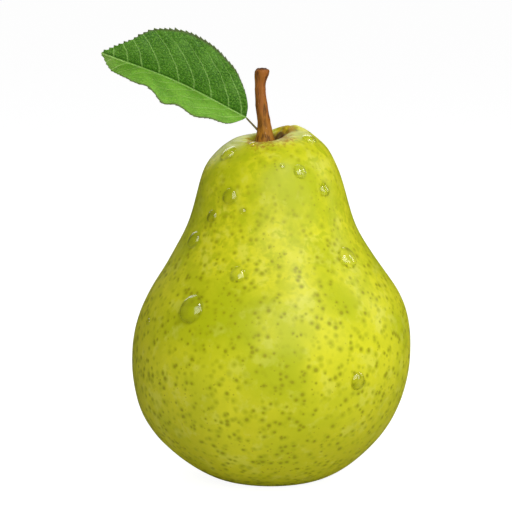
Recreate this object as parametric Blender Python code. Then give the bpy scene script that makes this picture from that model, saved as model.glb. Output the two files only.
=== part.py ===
"""A fresh pear with its stem and one leaf, standing on its base. Metres, +Z up."""

import math

import bmesh
import bpy
from mathutils import Vector
from mathutils.geometry import interpolate_bezier

MM = 0.001

# The origin is on the surface that the pear stands on, under the middle of the whole pear. The leaf
# reaches out to the left, so the fruit's own axis stands this far to the right of the origin.
AXIS_X = 3.4 * MM

# The fruit's outline, as (radius, height) in millimetres.
BASIN = [(0, 4.4), (3.2, 4.3), (5.4, 3.1), (7.2, 1.2), (9.0, 0)]
SIDE = [(12.5, 0), (20.2, 2.9), (27.6, 9.0), (33.6, 17.2), (37.0, 27.5), (36.9, 38.0), (33.3, 49.5)]
NECK = [(27.3, 59.4), (22.5, 68.2), (20.0, 76.9), (18.0, 84.0), (15.6, 88.4), (12.0, 91.6)]
CROWN = [(8.6, 93.1), (5.9, 93.0), (3.9, 91.9), (2.8, 90.4)]
SOCKET_RADIUS = 2.75
SOCKET_FLOOR = 88.0
SOCKET_CHAMFER_HEIGHT = 89.3

# Swellings of the fruit: which way each one faces in degrees from +X, its height, how much it adds to
# the radius, and how far it reaches up and down, in millimetres.
SWELLINGS = [
    (0, 51, 2.1, 15),
    (180, 17, 0.9, 10),
    (250, 40, 0.5, 14),
    (70, 30, 0.5, 16),
    (120, 62, 0.7, 12),
    (300, 80, 0.5, 9),
]
RIBS = 5
RIB_DEPTH = 0.35
RIB_HEIGHT = 9.0
RIB_REACH = 12.0
# Growth leaves the base flat: it begins at the resting ring and is full at this height.
FULL_GROWTH_HEIGHT = 12.0

# The dimple lies a little to the left of the fruit's axis. The crown around it rises to the right and
# the back, and on it a fleshy lump stands beside the stem and a low place in front of it. Each of
# these is (x, y, height, reach).
DIMPLE_X = -1.5
DIMPLE_REACH = 12.0
CROWN_START = 84.0
CROWN_FULL = 90.0
CROWN_RIM_RADIUS = 5.0
CROWN_SLOPE_X = 0.07
CROWN_SLOPE_Y = 0.05
CROWN_LUMPS = [(6.0, 3.5, 1.9, 5.0), (-1.5, -5.5, -0.9, 4.0)]

FRUIT_SEGMENTS = 64
RING_SPACING = 3.3
CROWN_RING_SPACING = 1.3
CROWN_HEIGHT = 88.0

# The stem: (x, y, height) along its middle, and its radius at each of these points.
GAP = 0.3
STEM = [
    ((-1.5, 0, SOCKET_FLOOR + GAP), 2.1),
    ((-1.5, 0, 91.0), 2.4),
    ((-1.5, 0, 93.4), 2.25),
    ((-1.75, 0, 96.8), 1.75),
    ((-2.45, 0.2, 101.4), 1.63),
    ((-2.8, 0.4, 106.8), 1.48),
    ((-2.45, 0.4, 109.2), 1.9),
    ((-2.2, 0.3, 110.6), 2.0),
]
STEM_CROWN = 0.5
STEM_SIDES = 16
STEM_STATIONS = 26
STEM_RIDGE = 0.07
# The ridges of the bark: how many there are, their twist along the stem, and their share of the height.
STEM_RIDGES = [(5, 9, 1.0), (8, -6, 0.5)]
STEM_FOOT_SHARE = 0.15
STEM_BARK_SHARE = 0.35
STEM_WEAR = 0.16
STEM_WEAR_SHARE = 0.96
STEM_SCAR_INSET = 0.7

# The leaf: its midrib runs from the end of its stalk to its tip, and its two halves fold along it.
STALK_FOOT = (-4.2, -0.1, 95.1)
BLADE_BASE = (-6.6, 0, 97.9)
LEAF_TIP = (-44.8, -3.0, 115.1)
MIDRIB_ARCH = 1.2
HALF_WIDTH = 13.8
LEAF_OUTLINE = [
    (0, 0.05),
    (0.03, 0.28),
    (0.1, 0.54),
    (0.25, 0.84),
    (0.5, 1.0),
    (0.7, 0.88),
    (0.87, 0.42),
    (1, 0.03),
]
UPPER_HALF_LEAN = 6.0
LOWER_HALF_FOLD = 64.0
# Ripples of the lower half: where along the blade, how many degrees more it folds there, their reach.
FOLD_RIPPLES = [(0.68, 10, 0.10), (0.44, 3, 0.05)]
TIP_OPENING = 22.0
TIP_OPENING_START = 0.75
BLADE_THICKNESS = 0.5
MIDRIB_THICKNESS = 0.3
MIDRIB_REACH = 0.9
FOLD_BLEND = 1.5
MARGIN_STEEPNESS = 4
STALK_RADIUS = 0.4
LEAF_STATIONS = 30
LEAF_SIDES = 24
STALK_SHARE = 0.12

# The calyx, as (radius, height) down its upper face and back up its lower face.
CALYX_UPPER = [(0, 4.0), (2.3, 4.0), (3.5, 3.1), (4.3, 1.9), (4.7, 0.9)]
CALYX_LOWER = [(4.3, 0.7), (3.7, 1.6), (2.9, 2.5), (2.0, 3.0), (0, 3.0)]
CALYX_HUB = (2.1, 3.5)
SEPALS = 5
SEPAL_WAIST = 0.22
SEPAL_BLUNTNESS = 0.8
CALYX_SEGMENTS = 40


def smooth_step(value, low, high):
    """0 below low, 1 above high, and a smooth rise between them."""
    share = min(max((value - low) / (high - low), 0), 1)
    return share * share * (3 - 2 * share)


def bell(distance, reach):
    """1 at no distance, falling away smoothly over the reach."""
    return math.exp(-((distance / reach) ** 2))


def smooth_curve(knots, start=None, end=None, steps=24):
    """Points along a smooth curve through the knots, which may be told its directions at its ends."""
    knots = [Vector((*knot, 0)[:3]) for knot in knots]
    runs = [(b - a).normalized() for a, b in zip(knots, knots[1:])]
    ways = [(a + b).normalized() for a, b in zip(runs, runs[1:])]
    first = Vector((*start, 0)[:3]) if start else runs[0]
    last = Vector((*end, 0)[:3]) if end else runs[-1]
    ways = [first, *ways, last]
    points = [knots[0]]
    for i, (a, b) in enumerate(zip(knots, knots[1:])):
        handle = (b - a).length / 3
        points += interpolate_bezier(a, a + ways[i] * handle, b - ways[i + 1] * handle, b, steps)[1:]
    return points


def spaced(points, spacing):
    """Fewer of the points, kept at the spacing that the function gives at each place."""
    kept = [points[0]]
    walked = 0.0
    for before, point in zip(points, points[1:]):
        walked += (point - before).length / spacing(point)
        if walked >= 1:
            kept.append(point)
            walked -= 1
    kept[-1] = points[-1]
    return kept


def at_share(points, share):
    """The place this share of the way along a curve's points, by their number."""
    place = share * (len(points) - 1)
    before = min(int(place), len(points) - 2)
    return points[before].lerp(points[before + 1], place - before)


def material(name, colour, roughness):
    made = bpy.data.materials.new(name)
    made.use_nodes = True
    shader = made.node_tree.nodes["Principled BSDF"]
    shader.inputs["Base Color"].default_value = (*colour, 1)
    shader.inputs["Roughness"].default_value = roughness
    shader.inputs["Metallic"].default_value = 0
    return made


def add_piece(name, mesh, finish, parent):
    """Turns a bmesh in millimetres into a named, smooth object in metres."""
    bmesh.ops.scale(mesh, vec=(MM, MM, MM), verts=mesh.verts)
    data = bpy.data.meshes.new(name)
    mesh.to_mesh(data)
    mesh.free()
    data.materials.append(finish)
    data.shade_smooth()
    data.set_sharp_from_angle(angle=math.radians(50))
    piece = bpy.data.objects.new(name, data)
    piece.parent = parent
    bpy.context.scene.collection.objects.link(piece)


def turned(outline, segments):
    """A closed body turned about Z from an outline of (radius, height) that starts and ends on the axis."""
    mesh = bmesh.new()
    verts = [mesh.verts.new((point[0], 0, point[1])) for point in outline]
    edges = [mesh.edges.new(pair) for pair in zip(verts, verts[1:])]
    bmesh.ops.spin(
        mesh, geom=verts + edges, axis=(0, 0, 1), cent=(0, 0, 0),
        angle=2 * math.pi, steps=segments, use_merge=True,
    )
    bmesh.ops.remove_doubles(mesh, verts=mesh.verts, dist=1e-4)
    bmesh.ops.recalc_face_normals(mesh, faces=mesh.faces)
    return mesh


def shaped_tube(sides, stations, shape):
    """A closed tube whose points are placed by shape(angle, share of the way along)."""
    mesh = bmesh.new()
    bmesh.ops.create_cone(mesh, cap_ends=True, segments=sides, radius1=1, radius2=1, depth=1)
    lengthwise = [edge for edge in mesh.edges if abs(edge.verts[0].co.z - edge.verts[1].co.z) > 0.5]
    bmesh.ops.subdivide_edges(mesh, edges=lengthwise, cuts=stations - 2, use_grid_fill=True)
    for vert in mesh.verts:
        vert.co = shape(math.atan2(vert.co.y, vert.co.x), vert.co.z + 0.5)
    bmesh.ops.recalc_face_normals(mesh, faces=mesh.faces)
    return mesh


def fruit_outline():
    def spacing(point):
        if point.y > CROWN_HEIGHT or point.x < BASIN[-1][0]:
            return CROWN_RING_SPACING
        return RING_SPACING

    basin = spaced(smooth_curve(BASIN, start=(1, 0), end=(1, 0)), spacing)
    body = spaced(smooth_curve(SIDE + NECK + CROWN, start=(1, 0), end=(0, -1)), spacing)
    socket = [
        Vector((SOCKET_RADIUS, SOCKET_CHAMFER_HEIGHT, 0)),
        Vector((SOCKET_RADIUS, SOCKET_FLOOR, 0)),
        Vector((0, SOCKET_FLOOR, 0)),
    ]
    return basin + body + socket


def grown_fruit(point):
    """Where growth moved a point of the turned fruit: swellings, faint ribs, and the uneven crown."""
    radius = math.hypot(point.x, point.y)
    angle = math.atan2(point.y, point.x)
    above_rest = smooth_step(point.z, 0, FULL_GROWTH_HEIGHT)
    outside = smooth_step(radius, SOCKET_RADIUS, CROWN[0][0])
    growth = -RIB_DEPTH * bell(point.z - RIB_HEIGHT, RIB_REACH) * math.cos(RIBS * angle) * above_rest
    for facing, height, amount, reach in SWELLINGS:
        toward = 0.5 + 0.5 * math.cos(angle - math.radians(facing))
        growth += amount * toward**2 * bell(point.z - height, reach) * above_rest
    growth *= outside
    moved = point + Vector((math.cos(angle), math.sin(angle), 0)) * growth
    crown = smooth_step(point.z, CROWN_START, CROWN_FULL)
    moved.x += DIMPLE_X * crown * (1 - smooth_step(radius, SOCKET_RADIUS, DIMPLE_REACH))
    rise = moved.x * CROWN_SLOPE_X + moved.y * CROWN_SLOPE_Y
    for x, y, height, reach in CROWN_LUMPS:
        rise += height * bell(math.hypot(moved.x - x, moved.y - y), reach)
    moved.z += rise * crown * smooth_step(radius, SOCKET_RADIUS, CROWN_RIM_RADIUS)
    return moved


def make_fruit(parent):
    mesh = turned(fruit_outline(), FRUIT_SEGMENTS)
    for vert in mesh.verts:
        vert.co = grown_fruit(vert.co)
    add_piece("fruit", mesh, material("fruit_skin", (0.50, 0.54, 0.04), 0.35), parent)


def make_stem(parent):
    route = smooth_curve([place for place, radius in STEM])
    radii = smooth_curve([(i, radius) for i, (place, radius) in enumerate(STEM)])

    def shape(angle, share):
        radius = at_share(radii, share).y
        ridge = sum(part * math.cos(count * angle + twist * share) for count, twist, part in STEM_RIDGES)
        ridge *= STEM_RIDGE * smooth_step(share, STEM_FOOT_SHARE, STEM_BARK_SHARE)
        worn = 1 - STEM_WEAR * smooth_step(share, STEM_WEAR_SHARE, 1)
        spoke = Vector((math.cos(angle), math.sin(angle), 0))
        return at_share(route, share) + spoke * (radius + ridge) * worn

    mesh = shaped_tube(STEM_SIDES, STEM_STATIONS, shape)
    dome_stem_end(mesh)
    add_piece("stem", mesh, material("stem_bark", (0.26, 0.10, 0.03), 0.75), parent)


def dome_stem_end(mesh):
    """Insets the flat top end and raises it, as the scar where the stem came off its twig."""
    top = max(mesh.faces, key=lambda face: face.calc_center_median().z)
    bmesh.ops.inset_region(mesh, faces=[top], thickness=STEM_SCAR_INSET, depth=0.0)
    bmesh.ops.translate(mesh, vec=(0, 0, STEM_CROWN), verts=top.verts)


def midrib():
    """The line of the leaf's stalk and midrib, and where along it the blade begins."""
    foot, base, tip = Vector(STALK_FOOT), Vector(BLADE_BASE), Vector(LEAF_TIP)
    up = Vector((0, 0, 1)) - (tip - base).normalized() * (tip - base).normalized().z
    middle = (base + tip) / 2 + up.normalized() * MIDRIB_ARCH
    return smooth_curve([base, middle, tip]), foot


def half_width(share):
    """Half of the blade's width at this share of its length."""
    points = smooth_curve(LEAF_OUTLINE)
    for before, point in zip(points, points[1:]):
        if point.x >= share:
            part = (share - before.x) / max(point.x - before.x, 1e-6)
            return HALF_WIDTH * (before.y + (point.y - before.y) * part)
    return HALF_WIDTH * points[-1].y


def lower_fold(share):
    """How far the lower half is folded forward, in degrees: it ripples, and opens towards the tip."""
    ripple = sum(more * bell(share - place, reach) for place, more, reach in FOLD_RIPPLES)
    return LOWER_HALF_FOLD + ripple - TIP_OPENING * smooth_step(share, TIP_OPENING_START, 1)


def make_leaf(parent):
    line, foot = midrib()
    along = (Vector(LEAF_TIP) - Vector(BLADE_BASE)).normalized()
    front = Vector((0, -1, 0))
    up = along.cross(front).normalized()
    if up.z < 0:
        up = -up

    def stalk_point(angle, share):
        middle = foot.lerp(Vector(BLADE_BASE), share)
        return middle + (up * math.sin(angle) + front * math.cos(angle)) * STALK_RADIUS

    def blade_point(angle, share):
        """The angle's sine runs from the lower margin to the upper one, its cosine from back to front."""
        across = math.sin(angle)
        reach = abs(across) * half_width(share)
        if across > 0:
            tilt = math.radians(UPPER_HALF_LEAN)
            way = up * math.cos(tilt) + front * math.sin(tilt)
            out = front * math.cos(tilt) - up * math.sin(tilt)
        else:
            tilt = math.radians(lower_fold(share))
            way = -up * math.cos(tilt) + front * math.sin(tilt)
            out = front * math.cos(tilt) + up * math.sin(tilt)
        thickness = BLADE_THICKNESS / 2 + MIDRIB_THICKNESS * bell(reach, MIDRIB_REACH)
        face = math.copysign(min(1, MARGIN_STEEPNESS * abs(math.cos(angle))), math.cos(angle))
        normal = front.lerp(out, smooth_step(reach, 0, FOLD_BLEND)).normalized()
        return at_share(line, share) + way * reach + normal * face * thickness

    def shape(angle, share):
        if share < STALK_SHARE:
            return stalk_point(angle, share / STALK_SHARE)
        return blade_point(angle, (share - STALK_SHARE) / (1 - STALK_SHARE))

    mesh = shaped_tube(LEAF_SIDES, LEAF_STATIONS, shape)
    add_piece("leaf", mesh, material("leaf_green", (0.08, 0.22, 0.02), 0.45), parent)


def make_calyx(parent):
    outline = smooth_curve(CALYX_UPPER, steps=3) + smooth_curve(CALYX_LOWER, steps=3)
    mesh = turned(outline, CALYX_SEGMENTS)
    for vert in mesh.verts:
        radius = math.hypot(vert.co.x, vert.co.y)
        angle = math.atan2(vert.co.y, vert.co.x)
        if radius <= CALYX_HUB[0]:
            continue
        lobe = abs(math.cos(SEPALS * angle / 2)) ** SEPAL_BLUNTNESS
        spread = SEPAL_WAIST + (1 - SEPAL_WAIST) * lobe
        pulled = CALYX_HUB[0] + (radius - CALYX_HUB[0]) * spread
        height = CALYX_HUB[1] + (vert.co.z - CALYX_HUB[1]) * spread
        vert.co = Vector((math.cos(angle) * pulled, math.sin(angle) * pulled, height))
    add_piece("calyx", mesh, material("dried_calyx", (0.10, 0.06, 0.03), 0.9), parent)


def main():
    for obj in list(bpy.data.objects):
        bpy.data.objects.remove(obj, do_unlink=True)
    pear = bpy.data.objects.new("pear", None)
    pear.location.x = AXIS_X
    bpy.context.scene.collection.objects.link(pear)
    make_fruit(pear)
    make_stem(pear)
    make_leaf(pear)
    make_calyx(pear)


main()
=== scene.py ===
"""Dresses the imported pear: its skin, stem, leaf and calyx, and the dew on it. Run it as a script."""

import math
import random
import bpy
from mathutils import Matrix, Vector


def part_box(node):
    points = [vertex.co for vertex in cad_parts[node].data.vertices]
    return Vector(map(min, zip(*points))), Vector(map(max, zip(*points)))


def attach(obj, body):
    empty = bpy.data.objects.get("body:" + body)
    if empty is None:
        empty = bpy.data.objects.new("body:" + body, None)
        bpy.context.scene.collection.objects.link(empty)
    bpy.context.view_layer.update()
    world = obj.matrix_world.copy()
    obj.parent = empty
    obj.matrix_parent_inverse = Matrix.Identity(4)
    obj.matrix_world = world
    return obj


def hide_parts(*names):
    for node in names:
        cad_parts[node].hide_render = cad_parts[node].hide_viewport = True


bl_info = {
    "name": "Fresh Pear",
    "version": (1, 0, 0),
    "blender": (4, 5, 0),
    "location": "View3D > Sidebar > Pear",
    "description": "Models and paints a fresh pear with its stem, one leaf and drops of dew",
    "category": "Object",
}

import bmesh
import bpy
from bpy.props import FloatProperty, FloatVectorProperty, IntProperty, PointerProperty
from mathutils import Matrix, Vector, noise
from mathutils.bvhtree import BVHTree
from mathutils.geometry import interpolate_bezier

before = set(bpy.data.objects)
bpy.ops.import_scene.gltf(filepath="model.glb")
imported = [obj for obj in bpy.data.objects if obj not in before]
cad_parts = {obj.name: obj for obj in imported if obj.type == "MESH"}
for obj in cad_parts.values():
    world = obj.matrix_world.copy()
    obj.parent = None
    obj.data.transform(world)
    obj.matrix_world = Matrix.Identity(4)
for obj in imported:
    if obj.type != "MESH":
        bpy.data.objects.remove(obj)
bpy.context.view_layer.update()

# Places, sizes and depths are in metres, unless a comment says that they are in millimetres.
MM = 0.001
MERGE_DISTANCE = 0.002 * MM
RESTING_HEIGHT = 0.01 * MM
UP = Vector((0, 0, 1))


def colour_setting(name, description, value):
    """A colour setting."""
    return FloatVectorProperty(
        name=name, description=description, subtype="COLOR", min=0, max=1, default=value,
    )


def length_setting(name, description, low, high, value):
    """A setting that is a length in metres, with its limits."""
    return FloatProperty(
        name=name, description=description, unit="LENGTH", min=low, max=high, default=value,
    )


# ---- shared shape helpers


def smooth_step(value, low, high):
    """0 below low, 1 above high, and a smooth rise between them."""
    share = min(max((value - low) / (high - low), 0), 1)
    return share * share * (3 - 2 * share)


def bell(distance, reach):
    """1 at no distance, falling away smoothly over the reach."""
    return math.exp(-((distance / reach) ** 2))


def degrees_apart(a, b):
    """The smallest turn between two directions, in degrees."""
    return abs((a - b + 180) % 360 - 180)


def smooth_curve(knots, steps=24):
    """Points along a smooth curve through the knots."""
    knots = [Vector((*knot, 0)[:3]) for knot in knots]
    runs = [(b - a).normalized() for a, b in zip(knots, knots[1:])]
    ways = [runs[0], *[(a + b).normalized() for a, b in zip(runs, runs[1:])], runs[-1]]
    points = [knots[0]]
    for i, (a, b) in enumerate(zip(knots, knots[1:])):
        handle = (b - a).length / 3
        points += interpolate_bezier(a, a + ways[i] * handle, b - ways[i + 1] * handle, b, steps)[1:]
    return points


def at_share(points, share):
    """The place this share of the way along a curve's points, by their number."""
    place = share * (len(points) - 1)
    before = min(int(place), len(points) - 2)
    return points[before].lerp(points[before + 1], place - before)


def height_at(points, x):
    """The second number of a curve's points where their first number is x."""
    for before, point in zip(points, points[1:]):
        if point.x >= x:
            part = (x - before.x) / max(point.x - before.x, 1e-9)
            return before.y + (point.y - before.y) * part
    return points[-1].y


def low_middle(node, below, height):
    """The middle, seen from above, of the CAD node's corners that are below a height, put at a height."""
    low = [vert.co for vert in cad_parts[node].data.vertices if vert.co.z < below]
    x, y = [(min(co[i] for co in low) + max(co[i] for co in low)) / 2 for i in range(2)]
    return Vector((x, y, height))


def fruit_axis():
    """Where the fruit's own axis meets the surface that it stands on."""
    return low_middle("fruit", RESTING_HEIGHT, 0)


def way_towards(facing, rise=0):
    """The direction that faces this way, in degrees from +X, and rises by this many degrees."""
    turn, lift = math.radians(facing), math.radians(rise)
    return Vector((math.cos(turn) * math.cos(lift), math.sin(turn) * math.cos(lift), math.sin(lift)))


def move_verts(mesh, moves):
    """Moves each vertex by its own move, once all of them are known."""
    for vert, move in zip(mesh.verts, moves):
        vert.co += move


def refined_copy(node, levels):
    """A mesh of the CAD node's shape, merged, made of quads again and rounded by subdivision."""
    mesh = bmesh.new()
    mesh.from_mesh(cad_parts[node].data)
    bmesh.ops.remove_doubles(mesh, verts=mesh.verts, dist=MERGE_DISTANCE)
    bmesh.ops.join_triangles(
        mesh, faces=mesh.faces,
        angle_face_threshold=math.radians(35), angle_shape_threshold=math.radians(60),
    )
    data = bpy.data.meshes.new(node + "_rough")
    mesh.to_mesh(data)
    mesh.free()
    rough = bpy.data.objects.new(node + "_rough", data)
    bpy.context.scene.collection.objects.link(rough)
    smoother = rough.modifiers.new("Smoother", "SUBSURF")
    smoother.levels = levels
    smoother.render_levels = levels
    graph = bpy.context.evaluated_depsgraph_get()
    refined = bmesh.new()
    refined.from_mesh(rough.evaluated_get(graph).to_mesh())
    bpy.data.objects.remove(rough)
    return refined


def shaped_tube(sides, stations, shape):
    """A closed tube. shape(vert, turn, share of the way along) places each point, both from 0 to 1."""
    mesh = bmesh.new()
    bmesh.ops.create_cone(mesh, cap_ends=True, segments=sides, radius1=1, radius2=1, depth=1)
    lengthwise = [edge for edge in mesh.edges if abs(edge.verts[0].co.z - edge.verts[1].co.z) > 0.5]
    bmesh.ops.subdivide_edges(mesh, edges=lengthwise, cuts=stations - 2, use_grid_fill=True)
    for vert in mesh.verts:
        turn = math.atan2(vert.co.y, vert.co.x) / math.tau % 1
        vert.co = shape(vert, turn, vert.co.z + 0.5)
    bmesh.ops.recalc_face_normals(mesh, faces=mesh.faces)
    return mesh


def add_piece(name, mesh, finish, node=None, sharp_angle=60):
    """Turns a bmesh into a smooth piece that rides with the pear and stands for its CAD node."""
    data = bpy.data.meshes.new(name)
    mesh.to_mesh(data)
    mesh.free()
    data.materials.append(finish)
    data.shade_smooth()
    data.set_sharp_from_angle(angle=math.radians(sharp_angle))
    piece = bpy.data.objects.new(name, data)
    bpy.context.scene.collection.objects.link(piece)
    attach(piece, "root")
    if node:
        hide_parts(node)
    return piece


# ---- shared shader helpers


class Finish:
    """A material, made by short calls that each add one node and give back its output."""

    def __init__(self, name):
        self.material = bpy.data.materials.new(name)
        self.material.use_nodes = True
        self.nodes = self.material.node_tree.nodes
        self.links = self.material.node_tree.links
        self.shader = self.nodes["Principled BSDF"]
        self.place = self.add("ShaderNodeTexCoord", output="Object")

    def put(self, socket, value):
        if isinstance(value, bpy.types.NodeSocket):
            self.links.new(value, socket)
        elif socket.type == "RGBA" and len(value) == 3:
            socket.default_value = (*value, 1)
        else:
            socket.default_value = value

    def add(self, kind, inputs=None, output=0, **settings):
        node = self.nodes.new(kind)
        for name, value in settings.items():
            setattr(node, name, value)
        for name, value in (inputs or {}).items():
            self.put(node.inputs[name], value)
        return node.outputs[output]

    def surface(self, **values):
        """Sets the shader's own sockets, named with underscores for spaces."""
        for name, value in values.items():
            self.put(self.shader.inputs[name.replace("_", " ")], value)

    def math(self, operation, a, b=0.0):
        return self.add("ShaderNodeMath", {0: a, 1: b}, operation=operation)

    def plus(self, a, b):
        return self.math("ADD", a, b)

    def minus(self, a, b):
        return self.math("SUBTRACT", a, b)

    def times(self, a, b):
        return self.math("MULTIPLY", a, b)

    def larger(self, a, b):
        return self.math("MAXIMUM", a, b)

    def vector(self, operation, a, b=(0, 0, 0), output="Vector"):
        return self.add("ShaderNodeVectorMath", {0: a, 1: b}, output=output, operation=operation)

    def stretch(self, scale, place=None, move=(0, 0, 0)):
        """The place scaled by (x, y, z), after it is moved."""
        moved = self.vector("ADD", place or self.place, move)
        return self.vector("MULTIPLY", moved, scale)

    def noise(self, size, detail=3.0, roughness=0.5, place=None, distortion=0.0):
        """Soft noise from 0 to 1, whose features are about this size in metres."""
        return self.add(
            "ShaderNodeTexNoise",
            {
                "Vector": place or self.place, "Scale": 1 / size, "Detail": detail,
                "Roughness": roughness, "Distortion": distortion,
            },
        )

    def cells(self, size, feature="F1", place=None):
        """A cell pattern of this size in metres. The distance is in units of the cell size."""
        inputs = {"Vector": place or self.place, "Scale": 1 / size}
        return self.add("ShaderNodeTexVoronoi", inputs, output="Distance", feature=feature)

    def between(self, value, low, high, to_low=0.0, to_high=1.0):
        """Maps low..high smoothly to to_low..to_high, and holds it there outside."""
        return self.add(
            "ShaderNodeMapRange",
            {
                "Value": value, "From Min": low, "From Max": high,
                "To Min": to_low, "To Max": to_high,
            },
            interpolation_type="SMOOTHSTEP",
        )

    def attribute(self, name):
        """A number that the mesh holds at each point."""
        return self.add("ShaderNodeAttribute", output="Fac", attribute_name=name)

    def mix(self, share, a, b):
        """Colour a, with this share of colour b laid over it."""
        node = self.nodes.new("ShaderNodeMix")
        node.data_type = "RGBA"
        self.put(node.inputs["Factor"], share)
        self.put(node.inputs[6], a)
        self.put(node.inputs[7], b)
        return node.outputs[2]

    def relief(self, height, depth, under=None):
        """A bump of this depth in metres, over another one."""
        inputs = {"Height": height, "Distance": depth, "Strength": 1.0}
        if under:
            inputs["Normal"] = under
        return self.add("ShaderNodeBump", inputs, output="Normal")


# ---- the skin


class PearSkinSettings(bpy.types.PropertyGroup):
    ripe: colour_setting("Ripe", "Yellow-green of the ripe skin", (0.68, 0.67, 0.013))
    unripe: colour_setting("Unripe", "Greener patches of the skin", (0.47, 0.52, 0.002))
    golden: colour_setting("Golden", "Warmer patches near the base", (0.60, 0.57, 0.008))
    bloom: colour_setting("Bloom", "Pale waxy bloom in patches", (0.72, 0.73, 0.15))
    spot: colour_setting("Spot", "Core of the skin's spots", (0.28, 0.25, 0.000))
    halo: colour_setting("Halo", "Green ring around each spot", (0.42, 0.45, 0.001))
    freckle: colour_setting("Freckle", "Small reddish freckles near the base", (0.34, 0.17, 0.004))
    russet: colour_setting("Russet", "Corky brown skin round the stem and the calyx", (0.40, 0.19, 0.004))
    # Root brown is painted shade where the skin meets the stem and in the deep creases, laid over the
    # dimple's own dark russet.
    root: colour_setting("Root brown", "Dark brown where the stem is rooted", (0.060, 0.022, 0.003))
    spot_size: length_setting("Spot size", "Width of the largest spots", 0.2 * MM, 3 * MM, 1.35 * MM)
    unevenness: length_setting("Unevenness", "Height of the skin's low swells", 0, 2 * MM, 0.26 * MM)


# Creases that run out from the stem's dimple: direction in degrees from +X, where each starts and ends
# from the dimple's middle, its depth, and its width in degrees. Lengths are in millimetres here and in
# the next lists.
DIMPLE_CREASES = [
    (8, 2.4, 12.5, 0.80, 16),
    (24, 2.4, 9.5, 0.45, 7),
    (46, 2.4, 8.0, 0.40, 6),
    (188, 2.6, 7.0, 0.55, 16),
    (235, 2.8, 5.6, 0.25, 12),
    (262, 2.8, 6.0, 0.16, 6),
    (284, 2.8, 7.5, 0.24, 6),
    (301, 2.8, 8.0, 0.22, 7),
    (330, 2.8, 7.0, 0.28, 9),
    (70, 2.8, 7.5, 0.40, 12),
    (125, 2.8, 7.0, 0.35, 13),
]
# Folds that run round the dimple: their distance from its middle, direction, spread in degrees, depth.
DIMPLE_FOLDS = [
    (7.6, 228, 24, 0.30),
    (9.8, 206, 20, 0.22),
    (8.4, 318, 14, 0.14),
    (5.4, 34, 32, 0.42),
    (8.3, 26, 26, 0.36),
]
FOLD_WIDTH = 0.55
# A crease deepens over a short run at its start and fades over a longer one at its end.
CREASE_START = (-0.6, 1.2)
CREASE_FADE = 4
# Lumps beside the stem: place from the dimple's middle, rise, reach.
DIMPLE_LUMPS = [
    (3.2, 5.2, 0.65, 3.0),
    (8.5, 3.2, 0.35, 3.0),
]
# Below this height the dimple's shapes and russet leave the skin alone.
DIMPLE_HEIGHT = 86 * MM
# Where russet lines the dimple: direction in degrees, spread in degrees, how far it reaches.
RUSSET_PATCHES = [(22, 34, 10.5), (190, 30, 6.0), (285, 26, 5.0)]
# How far up from its lowest point the stem still counts as its foot.
FOOT_HEIGHT = 1 * MM
# Puckers around the calyx basin: where they start, are full, begin to fade and end, in millimetres.
BASIN_CREASES = 10
BASIN_CREASE_DEPTH = 0.22 * MM
BASIN_HEIGHT = 20 * MM
BASIN_REACH = (4, 7, 10, 15)
# The skin's low swells, and the height over which the flat base gives way to them.
SWELL_SIZE = 17 * MM
FINE_SWELL_SIZE = 5 * MM
FINE_SWELL_SHARE = 0.16
SWELL_START = 9 * MM
# The way that the russet on the shoulder spreads farthest.
RUSSET_WAY = (0.22, -0.975, 0)


def dimple_middle():
    """The middle of the stem's foot, seen from above, at the height of the stem's end."""
    low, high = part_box("stem")
    return low_middle("stem", low.z + FOOT_HEIGHT, high.z)


def crease_depth(out, height):
    """How deep the creases and folds cut at a place, from its offset from the dimple's middle."""
    if height < DIMPLE_HEIGHT:
        return 0
    facing = math.degrees(math.atan2(out.y, out.x))
    radius = math.hypot(out.x, out.y) / MM
    depth = 0
    for angle, start, end, deepest, width in DIMPLE_CREASES:
        along = smooth_step(radius, start + CREASE_START[0], start + CREASE_START[1])
        along *= 1 - smooth_step(radius, end - CREASE_FADE, end)
        depth += deepest * along * bell(degrees_apart(facing, angle), width)
    for place, angle, spread, deepest in DIMPLE_FOLDS:
        depth += deepest * bell(degrees_apart(facing, angle), spread) * bell(radius - place, FOLD_WIDTH)
    return depth * MM


def dimple_russet(out):
    """How much russet lines the dimple at a place, from 0 to 1."""
    facing = math.degrees(math.atan2(out.y, out.x))
    radius = math.hypot(out.x, out.y) / MM
    return max(
        bell(degrees_apart(facing, angle), spread) * (1 - smooth_step(radius, reach - CREASE_FADE, reach))
        for angle, spread, reach in RUSSET_PATCHES
    )


def lump_rise(out, height):
    """How far the lumps beside the stem lift the skin at a place."""
    if height < DIMPLE_HEIGHT:
        return 0
    rise = 0
    for x, y, top, reach in DIMPLE_LUMPS:
        rise += top * bell(math.hypot(out.x / MM - x, out.y / MM - y), reach)
    return rise * MM


def basin_depth(out, height):
    """How deep the puckers around the calyx basin cut at a place."""
    radius = math.hypot(out.x, out.y) / MM
    start, full, fade, end = BASIN_REACH
    if height > BASIN_HEIGHT or radius > end:
        return 0
    angle = math.atan2(out.y, out.x)
    pucker = (0.5 + 0.5 * math.cos(BASIN_CREASES * angle + 0.8 * math.sin(2 * angle))) ** 3
    near = smooth_step(radius, start, full) * (1 - smooth_step(radius, fade, end))
    return BASIN_CREASE_DEPTH * pucker * near


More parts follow.
